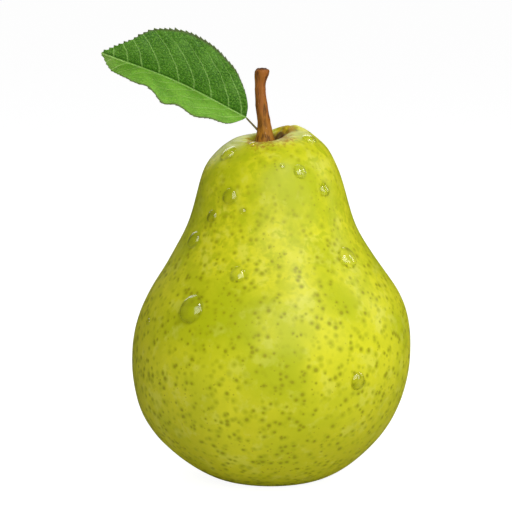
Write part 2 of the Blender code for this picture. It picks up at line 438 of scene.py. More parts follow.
def make_skin(settings):
    mesh = refined_copy("fruit", 2)
    mesh.normal_update()
    axis = fruit_axis()
    dimple = dimple_middle()
    crease = mesh.verts.layers.float.new("crease")
    lining = mesh.verts.layers.float.new("lining")
    moves = []
    for vert in mesh.verts:
        swell = noise.noise(vert.co / SWELL_SIZE)
        swell += FINE_SWELL_SHARE * noise.noise(vert.co / FINE_SWELL_SIZE)
        cut = crease_depth(vert.co - dimple, vert.co.z)
        vert[crease] = cut / MM
        vert[lining] = dimple_russet(vert.co - dimple) if vert.co.z > DIMPLE_HEIGHT else 0
        depth = cut + basin_depth(vert.co - axis, vert.co.z)
        low = smooth_step(vert.co.z, 0, SWELL_START)
        lift = Vector((0, 0, lump_rise(vert.co - dimple, vert.co.z)))
        moves.append(lift + vert.normal * (settings.unevenness * swell * low - depth))
    move_verts(mesh, moves)
    for vert in mesh.verts:
        vert.co.z = max(vert.co.z, 0)
    return add_piece("pear_skin", mesh, skin_finish(settings, axis, dimple), "fruit")


# The sizes of the skin's patterns, from broad patches to pores.
PATCH_SIZE = 24 * MM
GOLDEN_PATCH_SIZE = 18 * MM
FINE_PATCH_SIZE = 9 * MM
MOTTLE_SIZE = 5 * MM
BLOTCH_SIZE = 2.6 * MM
PORE_SIZE = 0.45 * MM
# Spots sit one to a cell on two grids, the second of them shifted, so that they don't look even.
SPOT_CELL, WIDE_SPOT_CELL, FINE_SPOT_CELL, FRECKLE_CELL = 2.25 * MM, 2.7 * MM, 1.6 * MM, 2.1 * MM
SPOT_SHIFT = (37 * MM, 11 * MM, 53 * MM)
# Widths as shares of the spot size: the cores and the halos on each grid, the fine spots, the freckles.
CORE_SHARES, HALO_SHARES = (1, 1.1), (1.9, 2.2)
FINE_SHARE, FRECKLE_SHARE = 0.55, 0.5
# The heights over which each feature gives way.
GOLDEN_FADE = (12 * MM, 42 * MM)
GREEN_RISE = (34 * MM, 80 * MM)
SPOT_FADE = (55 * MM, 80 * MM)
FINE_FADE = (14 * MM, 52 * MM)
FRECKLE_FADE = (10 * MM, 36 * MM)
# Russet round the stem: its ray pattern, how far it spreads beside and before the stem, the heights over
# which it begins, and the edge of the dark brown painted shade where the skin meets the stem, partly the
# dimple's own russet.
STREAKS_PER_METRE = 140
RUSSET_SPREAD = (6 * MM, 15 * MM)
RUSSET_START = (82 * MM, 87 * MM)
ROOT_SHADE_EDGE = (3.4 * MM, 5.2 * MM)
# Russet under the fruit: how far it spreads, and the height over which it gives way.
CALYX_SPREAD = (6 * MM, 15 * MM)
CALYX_FADE = (4 * MM, 9 * MM)


def spots(finish, cell, width, amount_noise, place=None):
    """Round spots up to this width, scattered one to a cell: 1 at each core, 0 outside."""
    distance = finish.cells(cell, place=place)
    edge = width / 2 / cell
    size = finish.between(amount_noise, 0.35, 0.65, 0.55 * edge, 1.1 * edge)
    share = finish.math("DIVIDE", distance, size)
    return finish.between(share, 0.30, 1.0, 1.0, 0.0)


def two_grids(finish, size, shares, size_noise, shifted, strength):
    """The spots of both grids. The shares of the size are their widths."""
    first = spots(finish, SPOT_CELL, shares[0] * size, size_noise)
    second = spots(finish, WIDE_SPOT_CELL, shares[1] * size, size_noise, place=shifted)
    return finish.times(finish.larger(first, second), strength)


def skin_finish(settings, axis, dimple):
    """Waxy yellow-green skin with patches, spots in green halos, and russet at both ends."""
    finish = Finish("pear_skin_wax")
    height = finish.add("ShaderNodeSeparateXYZ", {0: finish.place}, output="Z")
    patch = finish.noise(PATCH_SIZE, detail=3)
    mottle = finish.noise(MOTTLE_SIZE, detail=4, roughness=0.6)
    blotch = finish.noise(BLOTCH_SIZE, detail=3, roughness=0.55, distortion=0.6)
    base = finish.mix(finish.between(patch, 0.42, 0.66), settings.ripe, settings.unripe)
    golden = finish.between(finish.noise(GOLDEN_PATCH_SIZE, detail=2), 0.35, 0.65, 0.3, 1.0)
    golden = finish.times(finish.between(height, *GOLDEN_FADE, 0.8, 0.0), golden)
    base = finish.mix(golden, base, settings.golden)
    base = finish.mix(finish.between(mottle, 0.48, 0.34, 0.0, 0.24), base, settings.bloom)
    green = finish.larger(finish.between(mottle, 0.46, 0.68), finish.between(blotch, 0.48, 0.68))
    green = finish.times(green, finish.between(height, *GREEN_RISE, 0.2, 1.0))
    base = finish.mix(green, base, settings.unripe)

    few_high = finish.between(height, *SPOT_FADE, 1.0, 0.5)
    size_noise = finish.noise(3.1 * MM, detail=1)
    shifted = finish.stretch((1, 1, 1), move=SPOT_SHIFT)
    size = settings.spot_size
    halo = two_grids(finish, size, HALO_SHARES, size_noise, shifted, finish.times(few_high, 0.72))
    core = two_grids(finish, size, CORE_SHARES, size_noise, shifted, finish.times(few_high, 0.66))
    fine = spots(finish, FINE_SPOT_CELL, FINE_SHARE * size, mottle)
    fine_where = finish.between(finish.noise(FINE_PATCH_SIZE, detail=2), 0.40, 0.60)
    fine = finish.times(fine, finish.times(fine_where, finish.between(height, *FINE_FADE, 0.9, 0.6)))
    base = finish.mix(halo, base, settings.halo)
    base = finish.mix(core, base, settings.spot)
    base = finish.mix(fine, base, settings.spot)
    freckle = spots(finish, FRECKLE_CELL, FRECKLE_SHARE * size, blotch, place=shifted)
    freckle = finish.times(freckle, finish.between(height, *FRECKLE_FADE, 0.6, 0.0))
    base = finish.mix(freckle, base, settings.freckle)

    russet, root = russet_share(finish, dimple, height)
    russet = finish.larger(russet, calyx_russet(finish, axis, height))
    base = finish.mix(russet, base, settings.russet)
    # Painted shade: dark brown round the stem's foot and down the deep creases.
    base = finish.mix(root, base, settings.root)

    grain = finish.relief(finish.noise(PORE_SIZE, detail=2), 0.015 * MM)
    grain = finish.relief(finish.larger(core, fine), 0.02 * MM, under=grain)
    grain = finish.relief(mottle, 0.10 * MM, under=grain)
    grain = finish.relief(blotch, 0.05 * MM, under=grain)
    rough = finish.between(mottle, 0.3, 0.7, 0.36, 0.46)
    finish.surface(
        Base_Color=base,
        Roughness=finish.plus(rough, finish.times(russet, 0.3)),
        Normal=grain,
        IOR=1.42,
        Specular_IOR_Level=0.34,
        Coat_Weight=0.08,
        Coat_Roughness=0.22,
        Subsurface_Weight=0.08,
        Subsurface_Radius=(1.0, 0.8, 0.2),
        Subsurface_Scale=1.5 * MM,
    )
    return finish.material


def around(finish, middle):
    """(offset, distance) of each place from an upright line through the middle, both as outputs."""
    offset = finish.stretch((1, 1, 0), move=(-middle.x, -middle.y, 0))
    return offset, finish.vector("LENGTH", offset, output="Value")


def russet_share(finish, dimple, height):
    """(russet, root shade): streaks that run out over the shoulder, and dark brown painted shade round the
    stem's foot and in the deep creases, partly the dimple's own russet.
    """
    offset, distance = around(finish, dimple)
    wobble = finish.noise(1.1 * MM, detail=3, roughness=0.65)
    ray = finish.vector("NORMALIZE", offset)
    outward = finish.add("ShaderNodeCombineXYZ", {"Z": finish.times(distance, STREAKS_PER_METRE)})
    streak = finish.noise(
        1 / 3.4, detail=4, roughness=0.65, distortion=0.3, place=finish.vector("ADD", ray, outward),
    )
    front = finish.vector("DOT_PRODUCT", ray, RUSSET_WAY, output="Value")
    far = finish.between(front, 0.35, 1.0, *RUSSET_SPREAD)
    near = finish.minus(1.0, finish.math("DIVIDE", distance, far))
    pattern = finish.plus(finish.times(streak, 0.4), finish.times(wobble, 0.6))
    share = finish.between(finish.plus(pattern, finish.times(near, 0.36)), 0.52, 0.68, 0.0, 0.80)
    share = finish.times(share, finish.between(near, 0.0, 0.25))
    crease = finish.attribute("crease")
    lining = finish.attribute("lining")
    streaked = finish.between(streak, 0.36, 0.60, 0.25, 1.0)
    trough = finish.times(finish.between(lining, 0.15, 0.75), streaked)
    share = finish.larger(share, finish.times(trough, 0.85))
    share = finish.times(share, finish.between(height, *RUSSET_START))
    # Painted shade round the stem's foot, reaching farther along the russet trough, and in the deepest
    # creases; partly the dimple's own dark russet.
    edge = finish.plus(distance, finish.times(wobble, 1.4 * MM))
    edge = finish.minus(edge, finish.times(lining, 2.4 * MM))
    root = finish.between(edge, *ROOT_SHADE_EDGE, 0.9, 0.0)
    deep = finish.times(finish.between(crease, 0.5, 1.3), finish.between(streak, 0.58, 0.42, 0.15, 0.8))
    root = finish.larger(root, deep)
    return share, finish.times(root, finish.between(height, RUSSET_START[0], DIMPLE_HEIGHT))


def calyx_russet(finish, axis, height):
    """Russet that lines the calyx basin and fades out under the fruit."""
    distance = around(finish, axis)[1]
    wobble = finish.noise(3 * MM, detail=3, roughness=0.6)
    reach = finish.between(wobble, 0.3, 0.7, *CALYX_SPREAD)
    share = finish.between(finish.math("DIVIDE", distance, reach), 0.5, 1.1, 0.85, 0.0)
    return finish.times(share, finish.between(height, *CALYX_FADE, 1.0, 0.0))


# ---- the stem


class PearStemSettings(bpy.types.PropertyGroup):
    bark: colour_setting("Bark", "Reddish brown of the stem", (0.33, 0.105, 0.013))
    ochre: colour_setting("Ochre", "Lighter bark towards the foot", (0.42, 0.18, 0.008))
    # Dark is also laid low on the foot as painted shade inside the dimple.
    dark: colour_setting("Dark", "Furrows and the scar at the end", (0.05, 0.016, 0.004))
    pale: colour_setting("Pale", "Breathing spots on the bark", (0.50, 0.28, 0.14))
    ridge: length_setting("Ridge", "Height of the bark's long ridges", 0, 1 * MM, 0.13 * MM)
    flare: length_setting("Flare", "How far the foot spreads where it joins the fruit", 0, 2 * MM, 0.55 * MM)


# Rings round the stem: height, rise and reach, in millimetres.
STEM_RINGS = [(101.2, 0.07, 0.5), (105.4, 0.05, 0.4), (97.6, 0.05, 0.5)]
# How often the bark's ridges change across and along the stem, per metre.
RIDGE_PITCH = (1100, 160)
# The height above the foot over which its flare gives way, and the scar at the end.
FLARE_TOP = (2.2 * MM, 6.2 * MM)
SCAR_HEIGHT = 1.4 * MM
SCAR_DEPTH = 0.12 * MM
SCAR_GRAIN = 0.7 * MM
# Heights of the bark's changes of colour, above the stem's foot or below its end. The second pair is where
# painted shade darkens the foot down in the dimple.
OCHRE_FADE = (3 * MM, 13 * MM)
FOOT_SHADE_FADE = (2 * MM, 3.6 * MM)
SCAR_EDGE = (0.75 * MM, 0.15 * MM)


def make_stem(settings):
    mesh = refined_copy("stem", 2)
    mesh.normal_update()
    low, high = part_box("stem")
    moves = []
    for vert in mesh.verts:
        height = vert.co.z
        long = Vector((vert.co.x * RIDGE_PITCH[0], vert.co.y * RIDGE_PITCH[0], height * RIDGE_PITCH[1]))
        ridge = settings.ridge * (noise.noise(long) + 0.5 * noise.noise(long * 2.3))
        rings = sum(rise * bell(height / MM - middle, reach) for middle, rise, reach in STEM_RINGS) * MM
        foot = settings.flare * (1 - smooth_step(height - low.z, *FLARE_TOP))
        scar = SCAR_DEPTH * noise.noise(vert.co / SCAR_GRAIN)
        scar *= smooth_step(height, high.z - SCAR_HEIGHT, high.z)
        outward = Vector((vert.normal.x, vert.normal.y, 0))
        moves.append(vert.normal * (ridge + rings + scar) + outward * foot)
    move_verts(mesh, moves)
    return add_piece("pear_stem", mesh, stem_finish(settings, low, high), "stem")


def stem_finish(settings, low, high):
    """Woody bark: long fibres, paler at the foot, with breathing spots, a dark scar at its end and painted
    shade where the foot sinks into the dimple.
    """
    finish = Finish("pear_stem_bark")
    height = finish.add("ShaderNodeSeparateXYZ", {0: finish.place}, output="Z")
    fibres = finish.noise(0.9 * MM, detail=4, roughness=0.6, place=finish.stretch((1, 1, 0.10)))
    streaks = finish.noise(1.6 * MM, detail=2, place=finish.stretch((1, 1, 0.12)))
    foot = finish.between(height, low.z + OCHRE_FADE[0], low.z + OCHRE_FADE[1], 0.85, 0.0)
    base = finish.mix(foot, settings.bark, settings.ochre)
    base = finish.mix(finish.between(streaks, 0.40, 0.66, 0.0, 0.55), base, settings.ochre)
    base = finish.mix(finish.between(fibres, 0.52, 0.32, 0.0, 0.85), base, settings.dark)
    pale = spots(finish, 1.1 * MM, 0.42 * MM, streaks, place=finish.stretch((1, 1, 0.6)))
    base = finish.mix(finish.times(pale, 0.55), base, settings.pale)
    end = finish.between(height, high.z - SCAR_EDGE[0], high.z - SCAR_EDGE[1])
    crack = finish.between(finish.noise(0.5 * MM, detail=3), 0.40, 0.62, 0.55, 1.0)
    base = finish.mix(finish.times(end, crack), base, settings.dark)
    # Painted shade: the foot darkens where it sinks into the dimple.
    rooted = finish.between(height, low.z + FOOT_SHADE_FADE[0], low.z + FOOT_SHADE_FADE[1], 0.75, 0.0)
    base = finish.mix(rooted, base, settings.dark)
    grain = finish.relief(fibres, 0.22 * MM)
    grain = finish.relief(finish.noise(0.25 * MM, detail=3), 0.05 * MM, under=grain)
    finish.surface(
        Base_Color=base,
        Roughness=finish.between(fibres, 0.3, 0.7, 0.66, 0.46),
        Normal=grain,
        Specular_IOR_Level=0.28,
    )
    return finish.material


# ---- the leaf


class PearLeafSettings(bpy.types.PropertyGroup):
    half_width: length_setting("Half width", "Half the blade's greatest width", 5 * MM, 40 * MM, 13.4 * MM)
    thickness: length_setting("Thickness", "Thickness of the blade", 0.1 * MM, 1 * MM, 0.34 * MM)
    fold: FloatProperty(
        name="Fold", description="How far the lower half folds forward", subtype="ANGLE",
        min=0, max=math.radians(90), default=math.radians(64),
    )
    tooth: length_setting("Tooth", "Length of one tooth of the margin", 0.3 * MM, 4 * MM, 1.40 * MM)
    tooth_depth: length_setting("Tooth depth", "How far a tooth stands out", 0, 1.5 * MM, 0.60 * MM)
    blade: colour_setting("Blade", "Green of the upper face", (0.036, 0.142, 0.002))
    # Light blade also lays painted light on the lower half, which is folded up towards the lamps.
    light_blade: colour_setting("Light blade", "Brighter green between the veins", (0.205, 0.46, 0.042))
    vein: colour_setting("Vein", "Pale green of the veins", (0.40, 0.64, 0.17))
    underside: colour_setting("Underside", "Duller green of the lower face", (0.20, 0.34, 0.10))
    margin: colour_setting("Margin", "Brownish edge of the blade", (0.085, 0.075, 0.035))
    stalk: colour_setting("Stalk", "Brownish green of the stalk", (0.15, 0.12, 0.035))


# The stalk's foot and the midrib's ends, from the fruit's axis, and the midrib's arch, in millimetres.
STALK_FOOT = (-3.3, 0.0, 94.4)
BLADE_BASE = (-6.6, 0.0, 97.9)
LEAF_TIP = (-44.8, -3.0, 115.1)
MIDRIB_ARCH = 1.2
# The blade's half width along it, both as shares of the greatest.
LEAF_OUTLINE = [
    (0, 0.03), (0.02, 0.24), (0.1, 0.54), (0.25, 0.84), (0.5, 1.0), (0.7, 0.88), (0.87, 0.42), (1, 0.012),
]
UPPER_LEAN = math.radians(6)
STALK_RADIUS = 0.26 * MM
MIDRIB_RADIUS = 0.42 * MM
GROOVE_DEPTH = 0.20 * MM
# The share of the tube's stations that make the stalk, how much the stalk widens at its foot, and the
# length of its part of the pattern.
STALK_SHARE = 0.09
STALK_FLARE = 0.4
STALK_LENGTH = 4 * MM
LEAF_SIDES = 128
LEAF_STATIONS = 300
# Where each side vein leaves the midrib, in millimetres from the blade's base. Some start behind the
# base, because a vein runs forward as it nears the margin.
SIDE_VEINS = [-13.0, -7.5, -2.6, 1.2, 5.2, 10.4, 15.6, 20.2, 25.8, 30.6, 34.6, 38.4, 42.6]
VEIN_SLANT = 0.36
VEIN_CURVE = 0.067
# The lower half's fold opens and closes along the blade: where, by how many degrees, over what share.
FOLD_RIPPLES = [(0.68, 10, 0.10), (0.44, 3, 0.05)]
TIP_OPENING = 22
# How far the blade curls from its midrib, sways in waves, and swells between its veins.
CURL = 0.9 * MM
SWAY = 0.45 * MM
SWAY_WAVES = 31
QUILTING = 0.24 * MM
# The painted veins: how far they wander, their widths at the midrib and the margin, where they fade.
VEIN_WANDER = 1.6 * MM
VEIN_WANDER_SIZE = 5 * MM
VEIN_WIDTHS = (0.24 * MM, 0.13 * MM)
VEIN_REACH = (9 * MM, 12 * MM)
# The sizes of the blade's other patterns, and where its tip turns brown.
NET_CELL = 0.75 * MM
TONE_SIZE = 7 * MM
SPECK_SIZE = 0.55 * MM
TIP_BROWN = (34 * MM, 42 * MM)
# The lower half's teeth as a share of the upper's, and how far a tooth leans towards the tip.
LOWER_TOOTH_SHARE = 0.6
TOOTH_LEAN = 0.6


def vein_line(along, across):
    """Where the side vein through a place leaves the midrib. All in millimetres."""
    return along - VEIN_SLANT * across - VEIN_CURVE * across**2


class LeafShape:
    """The folded blade, its midrib and its stalk, as one closed skin."""

    def __init__(self, settings, axis):
        self.settings = settings
        foot, base, tip = [axis + Vector(place) * MM for place in (STALK_FOOT, BLADE_BASE, LEAF_TIP)]
        self.along = (tip - base).normalized()
        self.front = Vector((0, -1, 0))
        self.up = (UP - self.along * self.along.dot(UP)).normalized()
        middle = (base + tip) / 2 + self.up * MIDRIB_ARCH * MM
        self.line = smooth_curve([base, middle, tip])
        self.foot = foot
        self.base = base
        self.length = (tip - base).length
        self.outline = smooth_curve(LEAF_OUTLINE)
        self.margin = [Vector((0, 0))]
        for before, point in zip(self.outline, self.outline[1:]):
            run, rise = (point.x - before.x) * self.length, (point.y - before.y) * settings.half_width
            self.margin.append(Vector((point.x, self.margin[-1].y + math.hypot(run, rise))))
        # Each point's place along and across the flat leaf, and whether it is on the front face.
        self.record = {}

    def half_width(self, share):
        return self.settings.half_width * height_at(self.outline, share)

    def fold(self, share):
        """The lower half's fold: it ripples, and opens towards the tip."""
        ripple = sum(degrees * bell(share - middle, reach) for middle, degrees, reach in FOLD_RIPPLES)
        return self.settings.fold + math.radians(ripple - TIP_OPENING * smooth_step(share, 0.75, 1))

    def tooth(self, share):
        """How far the margin's teeth reach: each rises slowly and ends in a point."""
        place = height_at(self.margin, share) / self.settings.tooth
        part = place % 1
        uneven = 0.8 + 0.5 * noise.noise(Vector((int(place) * 1.7, 3.1, 0)))
        return self.settings.tooth_depth * part**1.6 * uneven * smooth_step(share, 0.01, 0.05)

    def blade_point(self, vert, turn, share):
        """The turns round the tube run over the front face, from margin to margin, and back behind it."""
        across = 4 * abs((turn + 0.25) % 1 - 0.5) - 1
        front = math.cos(turn * math.tau)
        eased = abs(across) - 0.65 * math.sin(math.tau * abs(across)) / math.tau
        width = self.half_width(share)
        upper = across > 0
        out = self.tooth(share) * smooth_step(eased, 0.93, 1) * (1 if upper else LOWER_TOOTH_SHARE)
        reach = eased * width + out
        tilt = UPPER_LEAN if upper else self.fold(share)
        side = self.up if upper else -self.up
        curl = CURL * math.sin(math.pi * min(eased, 1)) * math.sin(math.pi * share)
        sway = SWAY * math.sin(share * SWAY_WAVES + (0 if upper else 1.7)) * smooth_step(eased, 0.4, 1)
        way = side * math.cos(tilt) + self.front * math.sin(tilt)
        facing = self.front * math.cos(tilt) - side * math.sin(tilt)
        facing = self.front.lerp(facing, smooth_step(reach, 0, 1.6 * MM)).normalized()
        rim = min(1, 6 * (1 - abs(across)))
        body = (self.settings.thickness / 2) * math.sqrt(max(rim, 0.02))
        keel = 0.0 if front > 0 else MIDRIB_RADIUS * bell(reach, 0.55 * MM) * (1 - 0.6 * share)
        groove = GROOVE_DEPTH * bell(reach, 0.5 * MM) if front > 0 else 0.0
        lift = math.copysign(body, front) - keel - groove
        bulge = self.quilting(reach, share)
        self.record[vert.index] = (share * self.length, math.copysign(reach, across), front > 0)
        place = at_share(self.line, share) + way * reach + self.along * out * TOOTH_LEAN
        return place + facing * (lift + curl * (0.55 if upper else 0.8) + sway + bulge)

    def quilting(self, reach, share):
        """The blade swells a little between its side veins."""
        line = vein_line(share * self.length / MM, reach / MM)
        for before, after in zip(SIDE_VEINS, SIDE_VEINS[1:]):
            if before <= line < after:
                swell = math.sin(math.pi * (line - before) / (after - before))
                return QUILTING * math.sqrt(swell) * smooth_step(reach, 0.4 * MM, 4 * MM)
        return 0

    def stalk_point(self, vert, turn, share):
        self.record[vert.index] = ((share - 1) * STALK_LENGTH, 0.0, True)
        middle = self.foot.lerp(self.base, share)
        spoke = self.up * math.sin(turn * math.tau) + self.front * math.cos(turn * math.tau)
        return middle + spoke * STALK_RADIUS * (1 + STALK_FLARE * (1 - share) ** 3)

    def point(self, vert, turn, share):
        if share < STALK_SHARE:
            return self.stalk_point(vert, turn, share / STALK_SHARE)
        return self.blade_point(vert, turn, (share - STALK_SHARE) / (1 - STALK_SHARE))


def make_leaf(settings):
    shape = LeafShape(settings, fruit_axis())
    mesh = shaped_tube(LEAF_SIDES, LEAF_STATIONS, shape.point)
    flat = mesh.loops.layers.uv.new("leaf")
    for face in mesh.faces:
        for loop in face.loops:
            loop[flat].uv = shape.record[loop.vert.index][:2]
    under = mesh.verts.layers.float.new("underside")
    margin = mesh.verts.layers.float.new("margin")
    for vert in mesh.verts:
        along, across, front = shape.record[vert.index]
        vert[under] = 0.0 if front else 1.0
        widest = shape.half_width(min(max(along / shape.length, 0), 1)) if along > 0 else 1
        vert[margin] = abs(across) / (widest + settings.tooth_depth / 2)
    return add_piece("pear_leaf", mesh, leaf_finish(settings), "leaf", sharp_angle=80)


def leaf_finish(settings):
    """Leaf green with a pale midrib, curved side veins, a fine net between them and a dull underside."""
    finish = Finish("pear_leaf_green")
    flat = finish.add("ShaderNodeUVMap", uv_map="leaf")
    parts = finish.nodes.new("ShaderNodeSeparateXYZ")
    finish.put(parts.inputs[0], flat)
    along, across = parts.outputs["X"], parts.outputs["Y"]
    reach = finish.math("ABSOLUTE", across)
    under = finish.attribute("underside")

    wander = finish.minus(finish.noise(VEIN_WANDER_SIZE, detail=2, place=flat), 0.5)
    bend = finish.times(finish.times(reach, reach), VEIN_CURVE / MM)
    bend = finish.plus(finish.times(reach, VEIN_SLANT), bend)
    line = finish.minus(finish.plus(along, finish.times(wander, VEIN_WANDER)), bend)
    gap = 1.0
    for start in SIDE_VEINS:
        gap = finish.math("MINIMUM", finish.math("ABSOLUTE", finish.minus(line, start * MM)), gap)
    width = finish.between(reach, 0.0, VEIN_REACH[1], *VEIN_WIDTHS)
    side_vein = finish.between(finish.math("DIVIDE", gap, width), 0.3, 1.3, 1.0, 0.0)
    side_vein = finish.times(side_vein, finish.between(reach, *VEIN_REACH, 1.0, 0.15))
    groove = finish.between(finish.math("DIVIDE", gap, width), 0.5, 3.5, 1.0, 0.0)
    midrib = finish.between(reach, 0.20 * MM, 0.40 * MM, 1.0, 0.0)
    # Painted shade on the upper half beside the midrib, in the valley of the fold.
    painted_midrib_shade = finish.between(reach, 0.3 * MM, 1.1 * MM, 0.7, 0.0)
    lower = finish.math("LESS_THAN", across, 0.0)
    upper = finish.minus(1.0, lower)
    vein = finish.larger(finish.times(side_vein, 0.65), midrib)

    slanted = finish.stretch((0.8, 1.1, 1), place=flat)
    net = finish.cells(NET_CELL, feature="DISTANCE_TO_EDGE", place=slanted)
    net = finish.between(net, 0.02, 0.22, 1.0, 0.0)
    tone = finish.noise(TONE_SIZE, detail=3, place=flat)
    speck = finish.noise(SPECK_SIZE, detail=2, roughness=0.6, place=flat)

    # Painted light: the lower half, folded up towards the lamps, is laid in a lighter green over its random
    # tone, while the upper half keeps the darker blade green.
    painted_light_lower_half = finish.times(lower, finish.between(tone, 0.36, 0.62, 0.50, 0.82))
    tone_and_painted_light = finish.plus(finish.between(tone, 0.35, 0.7, 0.05, 0.30), painted_light_lower_half)
    base = finish.mix(tone_and_painted_light, settings.blade, settings.light_blade)
    cells = finish.times(finish.between(speck, 0.42, 0.62), finish.between(upper, 0, 1, 0.30, 0.46))
    base = finish.mix(cells, base, settings.light_blade)
    base = finish.mix(finish.times(net, finish.between(upper, 0, 1, 0.22, 0.30)), base, settings.blade)
    base = finish.mix(finish.times(painted_midrib_shade, upper), base, settings.blade)
    base = finish.mix(finish.times(vein, finish.between(upper, 0, 1, 0.85, 0.72)), base, settings.vein)
    edge = finish.attribute("margin")
    base = finish.mix(finish.between(edge, 0.915, 0.985, 0.0, 0.85), base, settings.margin)
    tip = finish.times(finish.between(along, *TIP_BROWN, 0.0, 0.45), lower)
    base = finish.mix(tip, base, settings.margin)
    base = finish.mix(finish.times(under, 0.8), base, settings.underside)
    base = finish.mix(finish.between(along, -0.5 * MM, -0.1 * MM, 1.0, 0.0), base, settings.stalk)
    grain = finish.relief(groove, -0.05 * MM)
    grain = finish.relief(net, -0.06 * MM, under=grain)
    grain = finish.relief(midrib, 0.12 * MM, under=grain)
    grain = finish.relief(speck, 0.05 * MM, under=grain)
    finish.surface(
        Base_Color=base,
        Roughness=finish.plus(finish.between(tone, 0.3, 0.7, 0.44, 0.54), finish.times(under, 0.2)),
        Normal=grain,
        Specular_IOR_Level=0.30,
        Subsurface_Weight=0.15,
        Subsurface_Radius=(0.5, 1.0, 0.15),
        Subsurface_Scale=0.6 * MM,
    )
    return finish.material


# ---- the calyx


class PearCalyxSettings(bpy.types.PropertyGroup):
    dry: colour_setting("Dry", "Brown of the dried sepals", (0.075, 0.045, 0.022))
    downy: colour_setting("Downy", "Greyish down on the sepals", (0.26, 0.20, 0.12))
    stamens: IntProperty(
        name="Stamens", description="Dried stamens left in the middle", min=0, max=60, default=22,
    )
    stamen_length: length_setting("Stamen length", "Length of the longest", 0.2 * MM, 6 * MM, 2 * MM)


CRINKLE = 0.16 * MM
CRINKLE_SIZE = 0.9 * MM
# The stamens: how far up they are rooted, the ring that they stand in, the rounds that they make, the
# most that they lean, in radians, and their radii at the upper and the lower end.
STAMEN_ROOT = 0.9 * MM
STAMEN_RING = (0.4 * MM, 1.3 * MM)
STAMEN_ROUNDS = 3
STAMEN_LEAN = 0.5
STAMEN_RADII = (0.13 * MM, 0.07 * MM)


def make_calyx(settings):
    mesh = refined_copy("calyx", 2)
    mesh.normal_update()
    root = fruit_axis() + UP * (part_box("calyx")[1].z - STAMEN_ROOT)
    move_verts(mesh, [vert.normal * CRINKLE * noise.noise(vert.co / CRINKLE_SIZE) for vert in mesh.verts])
    draw = random.Random(7)
    for i in range(settings.stamens):
        turn = math.tau * i / settings.stamens * STAMEN_ROUNDS
        way = Vector((math.cos(turn), math.sin(turn), 0))
        foot = root + way * (STAMEN_RING[0] + (STAMEN_RING[1] - STAMEN_RING[0]) * draw.random())
        length = settings.stamen_length * (0.55 + 0.45 * draw.random())
        lean = Matrix.Rotation(STAMEN_LEAN * draw.random(), 4, way.cross(UP))
        hang = Matrix.Translation(foot) @ lean @ Matrix.Translation((0, 0, -length / 2))
        bmesh.ops.create_cone(
            mesh, cap_ends=True, segments=6, depth=length, matrix=hang,
            radius1=STAMEN_RADII[0], radius2=STAMEN_RADII[1],
        )
    bmesh.ops.recalc_face_normals(mesh, faces=mesh.faces)
    return add_piece("pear_calyx", mesh, calyx_finish(settings), "calyx")


def calyx_finish(settings):
    """Dry, downy brown."""
    finish = Finish("pear_calyx_dry")
    down = finish.noise(0.6 * MM, detail=4, roughness=0.7)
    base = finish.mix(finish.between(down, 0.38, 0.68), settings.dry, settings.downy)
    grain = finish.relief(down, 0.15 * MM)
    finish.surface(Base_Color=base, Roughness=0.9, Normal=grain, Specular_IOR_Level=0.2)
    return finish.material


# ---- the dew


class PearDewSettings(bpy.types.PropertyGroup):
    water: colour_setting("Water", "Tint of the water", (0.98, 1.0, 0.96))
    bulge: FloatProperty(
        name="Bulge", description="A drop's height as a share of its width", subtype="FACTOR",
        min=0.05, max=0.6, default=0.27,
    )


# Each drop on the skin: the side that it is on in degrees from +X (270 is the front), its height and
# its width in millimetres, how many times as tall as wide it is, and its lean in degrees.
DROPS = [
    (217, 89, 4.2, 1.25, 0),
    (243, 91.5, 2.0, 1.1, 0),
    (334, 92.5, 3.8, 1.1, 10),
    (280, 86.5, 1.7, 1.1, 0),
    (295, 85, 3.6, 1.15, 0),
    (315, 80, 3.4, 1.1, 0),
    (237, 78.5, 4.4, 1.05, 0),
    (223, 73, 3.3, 1.1, 0),
    (249, 75, 1.9, 1.1, 0),
    (211, 66.5, 4.4, 1.1, 0),
    (319, 62.5, 5.8, 1.1, -10),
    (252, 59.5, 4.2, 1.18, 0),
    (232, 50.5, 7.2, 1.12, 0),
    (306, 32.5, 4.3, 1.15, 0),
    (204, 45, 1.8, 1.0, 0),
    (55, 74, 3.0, 1.2, 0),
    (80, 60, 4.6, 1.2, 5),
    (110, 80, 2.6, 1.1, 0),
    (130, 50, 5.2, 1.2, -5),
    (95, 38, 3.4, 1.3, 0),
    (160, 66, 3.0, 1.3, 5),
    (20, 45, 4.2, 1.2, 0),
    (60, 26, 3.0, 1.3, 0),
    (150, 28, 2.4, 1.2, 0),
]
SMALL_DROP = 2.5 * MM
DROP_SINK = 0.04 * MM
# A drop is fuller and a little wider towards its lower end, and its base bulges slightly into the skin.
DROP_BELLY = 0.20
DROP_TAPER = 0.08
DROP_BASE = 0.1
# How far outside the pear each ray that looks for the skin begins.
FAR_OUT = 0.1


def make_dew(settings):
    skin = bpy.data.objects["pear_skin"]
    surface = BVHTree.FromObject(skin, bpy.context.evaluated_depsgraph_get())
    axis = fruit_axis()
    mesh = bmesh.new()
    for facing, height, width, tallness, lean in DROPS:
        way = way_towards(facing)
        place = surface.ray_cast(axis + UP * height * MM + way * FAR_OUT, -way)[0]
        if place is None:
            raise RuntimeError(f"the drop at {facing} degrees, {height} mm misses the skin")
        add_drop(mesh, surface, place, width * MM, tallness, lean, settings.bulge)
    return add_piece("dew_drops", mesh, water_finish(settings), sharp_angle=180)


